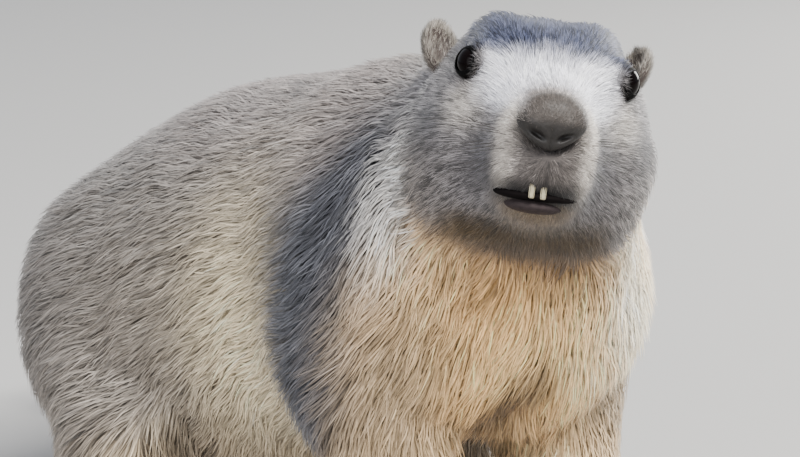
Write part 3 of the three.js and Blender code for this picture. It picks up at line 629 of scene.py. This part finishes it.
def scatter(data, density, count):
    """Random hair roots on a mesh: places, outward directions and spots on its unwrap"""
    data.calc_loop_triangles()
    total = len(data.loop_triangles)
    corners, loops = np.empty(total * 3, int), np.empty(total * 3, int)
    data.loop_triangles.foreach_get("vertices", corners)
    data.loop_triangles.foreach_get("loops", loops)
    spots, outward = np.empty(len(data.vertices) * 3), np.empty(len(data.vertices) * 3)
    data.vertices.foreach_get("co", spots)
    data.vertices.foreach_get("normal", outward)
    flat = np.empty(len(data.loops) * 2)
    data.uv_layers["OFBake"].data.foreach_get("uv", flat)
    corner = spots.reshape(-1, 3)[corners.reshape(-1, 3)]
    area = np.linalg.norm(np.cross(corner[:, 1] - corner[:, 0], corner[:, 2] - corner[:, 0]), axis=1)
    heap = np.cumsum(area * density(corner.mean(1)))
    chosen = np.searchsorted(heap, draw.uniform(0, heap[-1], count))
    chosen = chosen[np.argsort(corner[chosen, 0, 1], kind="stable")]
    u, v = draw.uniform(size=(2, count))
    over = u + v > 1
    u[over], v[over] = 1 - u[over], 1 - v[over]
    share = np.stack([1 - u - v, u, v], 1)[:, :, None]
    normals = (outward.reshape(-1, 3)[corners.reshape(-1, 3)[chosen]] * share).sum(1)
    normals /= np.linalg.norm(normals, axis=1)[:, None]
    flat_spots = (flat.reshape(-1, 2)[loops.reshape(-1, 3)[chosen]] * share).sum(1)
    return (corner[chosen] * share).sum(1), normals, flat_spots


def shades(root, tips, clump):
    """Colours at root, middle and tip, with pale and sooty hair mixed in by locks"""
    main, light, dark = markings(root)
    tip_main = markings(tips)[0]
    pick = 0.45 * draw.uniform(size=len(root)) + 0.55 * draw.uniform(size=len(root))[clump]
    pick = 0.5 + (pick - 0.5) * 1.25
    pale, sooty = (pick < light)[:, None], (pick > 1 - dark)[:, None]
    glow = np.exp(draw.normal(0, 0.16, len(root)) + 0.1 * ripple(root * 1000, 7, 12))[:, None]
    middle = (0.4 * main + 0.6 * tip_main) * glow
    bold = headness(in_head(root))[:, None]
    frost, soot = np.clip(middle * (1.4 + 0.4 * bold) + 0.04, 0, 0.92), middle * (0.48 - 0.2 * bold)
    middle = np.where(pale, 0.4 * middle + 0.6 * frost, np.where(sooty, 0.3 * middle + 0.7 * soot, middle))
    end = np.where(pale, frost, np.where(sooty, soot, middle * 1.15))
    # Roots are 0.82 of the middle: darker underfur, and partly painted shade deep in the coat.
    return middle * 0.82, middle, end


def locks_of(root, size):
    """For each tuft the number of the one that leads its lock"""
    leaders = np.arange(0, len(root), size)
    tree = kdtree.KDTree(len(leaders))
    for i, leader in enumerate(leaders):
        tree.insert(root[leader], i)
    tree.balance()
    return leaders[np.array([tree.find(p)[1] for p in root])]


BLADE = np.array([[0, 4, 1], [0, 3, 4], [1, 5, 2], [1, 4, 5], [2, 3, 0], [2, 5, 3],
                  [3, 6, 4], [4, 6, 5], [5, 6, 3], [0, 1, 2]])
BRISTLE = np.array([[0, 3, 1], [1, 3, 2], [2, 3, 0], [0, 1, 2]])
SHORT, ROOT_DEPTH, LOWEST_TIP, HALF_PATCH = 9.0, 0.0004, 0.0002, 0.0015


def grow(name, piece_size, root, normal, lie, length, rise, width, flat_spots, lock_size, material, tint=1.0):
    """Tufts as solid meshes: three-sided blades with a bend if they are long, else plain bristles"""
    bent = length.mean() > SHORT
    lead = locks_of(root, lock_size)
    tip = lie * length[:, None] / 1000 + normal * rise[:, None] / 1000
    gather = (draw.uniform(0.0, 0.3, len(root)) * ramp(length, 2.5, 7))[:, None]
    toward = root[lead] + tip[lead] - root
    tip = tip * (1 - gather) + toward * gather
    knee = lie * (0.5 * length[:, None] / 1000) + normal * (0.82 * rise[:, None] / 1000)
    knee = knee * (1 - 0.5 * gather) + toward * 0.25 * gather
    across = np.cross(lie, normal)
    half = width[:, None] / 2000
    corners = ((-1, 0), (1, 0), (0, 0.7))
    base = [root - normal * ROOT_DEPTH + across * half * x + normal * half * z for x, z in corners]
    bend = [root + knee + across * half * x + normal * half * z for x, z in corners]
    rows = base + bend + [root + tip] if bent else base + [root + tip]
    verts = np.stack(rows, 1)
    verts[:, :, 2] = np.maximum(verts[:, :, 2], LOWEST_TIP)
    levels = shades(root, root + tip, lead)
    colours = [levels[0]] * 3 + ([levels[1]] * 3 if bent else []) + [levels[2]]
    colours = np.stack(colours, 1) * tint
    bend_on_map = [(-0.8, 0.3), (0.8, 0.3), (0, 0.4)] if bent else []
    patch_shape = [(-1, -1), (1, -1), (0, -0.6)] + bend_on_map + [(0, 1)]
    flat = flat_spots[:, None, :] + np.array(patch_shape)[None] * HALF_PATCH
    shading = normal + across * draw.uniform(-0.4, 0.4, len(root))[:, None] + lie * 0.12
    shading /= np.linalg.norm(shading, axis=1)[:, None]
    pattern, points = (BLADE, 7) if bent else (BRISTLE, 4)
    for number, start in enumerate(range(0, len(root), piece_size)):
        part = slice(start, start + piece_size)
        count = len(root[part])
        faces = (pattern[None] + (np.arange(count) * points)[:, None, None]).reshape(-1, 3)
        data = bpy.data.meshes.new(name)
        data.vertices.add(count * points)
        data.vertices.foreach_set("co", verts[part].ravel())
        data.loops.add(faces.size)
        data.loops.foreach_set("vertex_index", faces.ravel())
        data.polygons.add(len(faces))
        data.polygons.foreach_set("loop_start", np.arange(0, faces.size, 3))
        data.polygons.foreach_set("use_smooth", np.ones(len(faces), bool))
        stain(data, colours[part].reshape(-1, 3))
        map_spots = flat[part].reshape(-1, 2)[faces.ravel()]
        data.uv_layers.new(name="OFBake").data.foreach_set("uv", map_spots.ravel())
        data.update(calc_edges=True)
        data.validate()
        data.normals_split_custom_set_from_vertices(np.repeat(shading[part], points, axis=0))
        data.materials.append(material)
        tufts = bpy.data.objects.new(f"{name}_{number}", data)
        bpy.context.scene.collection.objects.link(tufts)
        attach(tufts, "root")


def comb(root, normal, wander):
    """The lie of the coat with each tuft turned a little at random"""
    lie = lie_of_coat(root, normal)
    lie += np.cross(normal, lie) * draw.normal(0, wander, len(root))[:, None]
    return lie / np.linalg.norm(lie, axis=1)[:, None]


LONG_PIECE, SHORT_PIECE = 19500, 48000
TUFTS = {"long": 104000, "short": 96000}
guard_hair = hair_material("guard_hair", 0.6, 0.12, 0.0)
root, normal, flat_spots = scatter(
    skin_data, lambda places: coat_density(places) * (coat_length(places) >= SHORT), TUFTS["long"])
length = coat_length(root) * draw.uniform(0.62, 1.12, len(root))
rise = np.maximum(coat_depth(root), 1) * draw.uniform(0.42, 0.95, len(root)) + 0.2
width = np.clip(0.2 + 0.022 * length, 0.32, 0.66) * draw.uniform(0.7, 1.25, len(root))
grow("long_coat", LONG_PIECE, root, normal, comb(root, normal, 0.13), length, rise, width,
     flat_spots, 5, guard_hair)

root, normal, flat_spots = scatter(
    skin_data, lambda places: coat_density(places) * (coat_length(places) < SHORT), TUFTS["short"])
length = coat_length(root) * draw.uniform(0.7, 1.1, len(root))
rise = np.maximum(coat_depth(root), 0.4) * draw.uniform(0.5, 1.1, len(root)) + 0.15
width = np.clip(0.2 + 0.035 * length, 0.26, 0.5) * draw.uniform(0.75, 1.25, len(root))
grow("short_coat", SHORT_PIECE, root, normal, comb(root, normal, 0.14), length, rise, width,
     flat_spots, 6, guard_hair)


# Eyes: dark brown globes, wet and glossy. Each sits in a turned ring of lid skin, black at its rim and
# furred outside, which holds it in the head.
EYE_RADIUS = 0.006
head_matrix = Matrix.Translation(Vector(head_origin)) @ Matrix(head_axes.T.tolist()).to_4x4()
eye_finish = finish_of("wet_brown_eye", (0.002, 0.001, 0.001), 0.12, 0.0, 0.0, 300)
eye_finish.node_tree.nodes["Principled BSDF"].inputs["IOR"].default_value = 1.12
lid_finish = hair_material("lid_skin", 0.7, 0.0, 0.4)
lid_finish.node_tree.nodes["Principled BSDF"].inputs["Specular IOR Level"].default_value = 0.06
for side_name, side in (("right", -1), ("left", 1)):
    looking = Vector((side * 0.86, -0.5, 0.12)).normalized()
    upright = Vector((0, 0.35, 1))
    sideways = upright.cross(looking).normalized()
    turn = Matrix([sideways, looking.cross(sideways), looking]).transposed().to_4x4()
    spot = Matrix.Translation(Vector((side * EYE_AT[0], EYE_AT[1], EYE_AT[2])) / 1000)
    globe = bmesh.new()
    bmesh.ops.create_uvsphere(globe, u_segments=40, v_segments=28, radius=EYE_RADIUS)
    bmesh.ops.transform(globe, matrix=head_matrix @ spot @ turn, verts=globe.verts)
    settle(f"eye_ball_{side_name}", globe, eye_finish, "eye", f"eye_{side_name}")
    lid = bmesh.new()
    inner_wall = [(6.15, a) for a in range(106, 49, -8)]
    outer_wall = [(6.95, a) for a in range(58, 107, 8)]
    profile = inner_wall + [(6.3, 42), (6.6, 46)] + outer_wall
    edge = [lid.verts.new((r * math.sin(math.radians(a)) / 1000, 0, r * math.cos(math.radians(a)) / 1000))
            for r, a in profile]
    outline = [lid.edges.new((edge[i - 1], edge[i])) for i in range(len(edge))]
    bmesh.ops.spin(lid, geom=edge + outline, cent=(0, 0, 0), axis=(0, 0, 1), angle=2 * math.pi, steps=44,
                   use_merge=True)
    bmesh.ops.remove_doubles(lid, verts=lid.verts, dist=1e-6)
    for v in lid.verts:
        around = math.hypot(v.co.x, v.co.y)
        if around > 0 and v.co.z > 0:
            corner = abs(v.co.x) / around
            squeeze = 1 - 0.16 * (1 - corner) + 0.1 * corner ** 4
            v.co.x, v.co.y = v.co.x * squeeze, v.co.y * squeeze
    bmesh.ops.transform(lid, matrix=head_matrix @ spot @ turn, verts=lid.verts)
    lids = settle(f"lids_{side_name}", lid, lid_finish, "coat")
    unwrap(lids)
    eye_centre = np.array(head_matrix @ spot @ Vector((0, 0, 0)))
    towards = np.array(head_matrix.to_3x3() @ looking)
    spots = np.array([v.co for v in lids.data.vertices])
    openness = ((spots - eye_centre) @ towards) / np.linalg.norm(spots - eye_centre, axis=1)
    rim = ramp(openness, 0.42, 0.56)[:, None]
    stain(lids.data, markings(spots)[0] * 0.6 * (1 - rim) + tone(14, 11, 10) * rim)

    def beside_eye(places, eye_centre=eye_centre, towards=towards):
        away = places - eye_centre
        reach = np.linalg.norm(away, axis=1)
        return (reach > 0.0066) * ramp(-(away @ towards) / reach, -0.62, -0.5)

    root, normal, flat_spots = scatter(lids.data, beside_eye, 1500)
    length = draw.uniform(1.6, 2.8, len(root))
    rise = draw.uniform(0.3, 0.8, len(root))
    width = draw.uniform(0.22, 0.34, len(root))
    grow(f"lashes_{side_name}", 2000, root, normal, comb(root, normal, 0.2), length, rise, width,
         flat_spots, 4, guard_hair, 0.8)

# Ears: small round cups of thin skin set wide on the head, lightly furred, and painted darker where they
# face the camera as shade inside the cup. Each is its solid ear made smooth, and the left one is then
# turned about its root by 38 degrees.
ear_finish = hair_material("ear_skin", 0.7, 0.1, 0.4)


def beside_hollow(places):
    """The cup's hollow has only a third of the hair of its back and rim"""
    return 1 - 0.7 * patch(one_side(in_head(places)), (35, 9, 12.5), (5, 7, 7.5))


for side_name in ("right", "left"):
    cup = bmesh.new()
    cup.from_mesh(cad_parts[f"ear_{side_name}"].data)
    bmesh.ops.remove_doubles(cup, verts=cup.verts, dist=1e-6)
    bmesh.ops.subdivide_edges(cup, edges=cup.edges[:], cuts=2, use_grid_fill=True)
    bmesh.ops.triangulate(cup, faces=cup.faces[:])
    if side_name == "left":
        hinge = from_head(36, 18, 12)
        turned = Matrix.Rotation(math.radians(-38), 3, head_z)
        bmesh.ops.rotate(cup, verts=cup.verts, cent=hinge, matrix=turned)
    for _ in range(6):
        bmesh.ops.smooth_vert(cup, verts=cup.verts, factor=0.5,
                              use_axis_x=True, use_axis_y=True, use_axis_z=True)
    ear = settle(f"ear_cup_{side_name}", cup, ear_finish, "coat", f"ear_{side_name}")
    unwrap(ear)
    spots = np.array([v.co for v in ear.data.vertices])
    outward = np.array([v.normal for v in ear.data.vertices])
    ear_low, ear_high = in_head(spots).min(0), in_head(spots).max(0)
    # Painted shade: the skin is darker where it faces the camera, standing in for shade inside the cup.
    camera_facing_shade = ramp(outward @ np.array(toward_camera), 0.2, 0.9)
    stain(ear.data, tone(120, 112, 104) * (1 - camera_facing_shade[:, None]) + tone(84, 74, 70) * camera_facing_shade[:, None])
    root, normal, flat_spots = scatter(ear.data, beside_hollow, 5200)
    upward = np.tile(from_head(0, 0.4, 1.0) - from_head(0, 0, 0), (len(root), 1)) * 1000
    upward += normal * 0.1 + draw.normal(0, 0.2, (len(root), 3))
    upward -= normal * (upward * normal).sum(1)[:, None]
    upward /= np.linalg.norm(upward, axis=1)[:, None]
    height = (in_head(root)[:, 2] - ear_low[2]) / (ear_high[2] - ear_low[2])
    length = draw.uniform(2.0, 3.6, len(root)) * (0.8 + 0.5 * height)
    grow(f"ear_hair_{side_name}", 6000, root, normal, upward, length, draw.uniform(0.2, 0.9, len(root)),
         draw.uniform(0.22, 0.36, len(root)), flat_spots, 4, guard_hair, 1.0)

# Nose: the blunt dark end of the muzzle, bare and damp round two slit nostrils, with a groove below,
# and velvety with the shortest hair on top.
NOSE_HALF_WIDTH, NOSE_HALF_DEPTH, NOSE_HALF_HEIGHT = 11.6, 7.0, 9.4
pad = bmesh.new()
bmesh.ops.create_uvsphere(pad, u_segments=72, v_segments=52, radius=1)
for v in pad.verts:
    x, y, z = v.co.x * NOSE_HALF_WIDTH, v.co.y * NOSE_HALF_DEPTH, v.co.z * NOSE_HALF_HEIGHT
    front = max(0.0, -v.co.y)
    for side in (-1, 1):
        a = (x - side * 5.2) * 0.82 + side * (z + 4.0) * 0.42
        b = (z + 4.0) * 0.86 - side * (x - side * 5.2) * 0.4
        y += 4.2 * front * math.exp(-((a / 3.1) ** 2 + (b / 1.15) ** 2))
        y -= 0.8 * front * math.exp(-(((x - side * 7) / 2.4) ** 2 + ((z + 0.6) / 3) ** 2))
    y += 1.4 * front * math.exp(-((x / 0.8) ** 2)) * math.exp(-(max(0, z + 3.5) / 2) ** 2)
    narrow = 1 - 0.42 * max(0, -z / NOSE_HALF_HEIGHT) ** 1.5
    v.co = Vector((x * narrow, y, z)) / 1000
nose_seat = Matrix.Translation(Vector(NOSE_AT + [-0.8, 0, 0]) / 1000)
bmesh.ops.transform(pad, matrix=head_matrix @ nose_seat, verts=pad.verts)
nose_finish = hair_material("damp_nose_skin", 0.5, 0.0, 0.35)
nose = settle("nose_pad", pad, nose_finish, "nose", "nose")
unwrap(nose)
spots = np.array([v.co for v in nose.data.vertices])
height = in_head(spots)[:, 2] - NOSE_AT[2]
# The pad is darker towards the bottom, round the nostrils.
darker_below = ramp(-height, -3.0, 1.5)[:, None]
stain(nose.data, tone(84, 78, 73) * (1 - darker_below) + tone(62, 59, 57) * darker_below)
root, normal, flat_spots = scatter(
    nose.data, lambda places: ramp(in_head(places)[:, 2] - NOSE_AT[2], -1.5, 2.5), 5200)
back = np.tile(from_head(0, 1, 0.3) - from_head(0, 0, 0), (len(root), 1)) * 1000 + normal * 0.2
back += draw.normal(0, 0.3, back.shape)
back -= normal * (back * normal).sum(1)[:, None]
back /= np.linalg.norm(back, axis=1)[:, None]
grow("nose_velvet", 6000, root, normal, back, draw.uniform(1.0, 1.9, len(root)),
     draw.uniform(0.2, 0.7, len(root)), draw.uniform(0.2, 0.3, len(root)), flat_spots, 4, guard_hair, 1.0)

# Mouth, a little open: the dark hollow behind the lips, a near-black form that is painted shade for the
# inside of the open mouth, and the mauve lower lip of bare skin. Each is a flat round form, bowed back at
# its sides and let into the muzzle.
lip_finish = finish_of("mauve_lip", (0.03, 0.023, 0.023), 0.65, 0.0, 0.6, 700)
# The hollow's finish is near-black: painted shade inside the open mouth.
mouth_shade_finish = finish_of("painted_mouth_shade", (0.004, 0.003, 0.003), 0.9, 0.0, 0.2, 500)
for finish in (lip_finish, mouth_shade_finish):
    finish.node_tree.nodes["Principled BSDF"].inputs["Specular IOR Level"].default_value = 0.04
for name, finish, middle, radii in (
        ("mouth_hollow", mouth_shade_finish, (-1, -43.0, -27.0), (14.2, 14.0, 2.7)),
        ("lower_lip", lip_finish, (-1.6, -46.2, -30.4), (9.8, 9.6, 3.0))):
    form = bmesh.new()
    bmesh.ops.create_uvsphere(form, u_segments=48, v_segments=32, radius=1)
    for v in form.verts:
        bow = 0.14 * (v.co.x * radii[0]) ** 2 / radii[0]
        v.co = Vector((v.co.x * radii[0], v.co.y * radii[1] + bow, v.co.z * radii[2] - 0.35 * bow)) / 1000
    seat = Matrix.Translation(Vector(middle) / 1000)
    bmesh.ops.transform(form, matrix=head_matrix @ seat, verts=form.verts)
    settle(name, form, finish, "nose")

# Upper front teeth: two chisels of ivory enamel, curved and bevelled at their edges. They are set in
# the upper jaw side by side, and only their tips show below the lip.
tooth_finish = finish_of("ivory_enamel", (0.27, 0.235, 0.15), 0.3, 0.3, 0.1, 500)
for side_name, side in (("right", -1), ("left", 1)):
    tooth = bmesh.new()
    bmesh.ops.create_cube(tooth, size=1)
    bmesh.ops.subdivide_edges(tooth, edges=tooth.edges[:], cuts=5, use_grid_fill=True)
    for v in tooth.verts:
        taper = 1 - 0.12 * (0.5 - v.co.z)
        v.co = Vector((v.co.x * 2.1 * taper, v.co.y * 2.0 + 1.2 * (v.co.z + 0.5) ** 2, v.co.z * 6.8)) / 1000
    sharp = [e for e in tooth.edges if e.calc_face_angle(0) > 1]
    bmesh.ops.bevel(tooth, geom=sharp, offset=0.0004, segments=2, profile=0.5, affect="EDGES", material=-1)
    seat = Matrix.Translation(Vector((side * 1.9 - 2.1, -56.3, -24.2)) / 1000)
    bmesh.ops.transform(tooth, matrix=head_matrix @ seat, verts=tooth.verts)
    settle(f"front_tooth_{side_name}", tooth, tooth_finish, "enamel", f"incisor_{side_name}")

# Whiskers: stiff dark hairs of horn, rooted in the side of the muzzle in three rows of four, and
# bowed back along the cheeks. Each is a thin three-sided rod that tapers to its tip.
WHISKER_STEPS, WHISKER_RADIUS = 8, 0.16
whisker_finish = finish_of("whisker_horn", (0.03, 0.025, 0.02), 0.4, 0.0, 0.0, 300)
for side_name, side in (("right", -1), ("left", 1)):
    bunch = bmesh.new()
    for row in range(3):
        for step in range(4):
            start = Vector((side * (11.5 + 0.7 * step), -50 + 3.4 * step, -9 - 3.6 * row + 0.5 * step))
            reach = 22 + 4 * step - 3 * row
            heading = Vector((side * 0.9, 0.25 + 0.12 * step, 0.12 - 0.28 * row)).normalized()
            rings = []
            for i in range(WHISKER_STEPS + 1):
                t = i / WHISKER_STEPS
                middle = start + heading * reach * t + Vector((0, 0.3, -0.18)) * reach * t * t
                radius = WHISKER_RADIUS * (1 - 0.85 * t)
                rings.append([bunch.verts.new(head_matrix @ ((middle + Vector((
                    side * 0.3 * radius, radius * math.cos(a), radius * math.sin(a)))) / 1000))
                    for a in (0.0, 2.094, 4.189)])
            for lower, upper in zip(rings[:-1], rings[1:]):
                for k in range(3):
                    bunch.faces.new((lower[k], lower[k - 1], upper[k - 1], upper[k]))
            bunch.faces.new(rings[0])
            bunch.faces.new(rings[-1][::-1])
    settle(f"whiskers_{side_name}", bunch, whisker_finish, "coat")
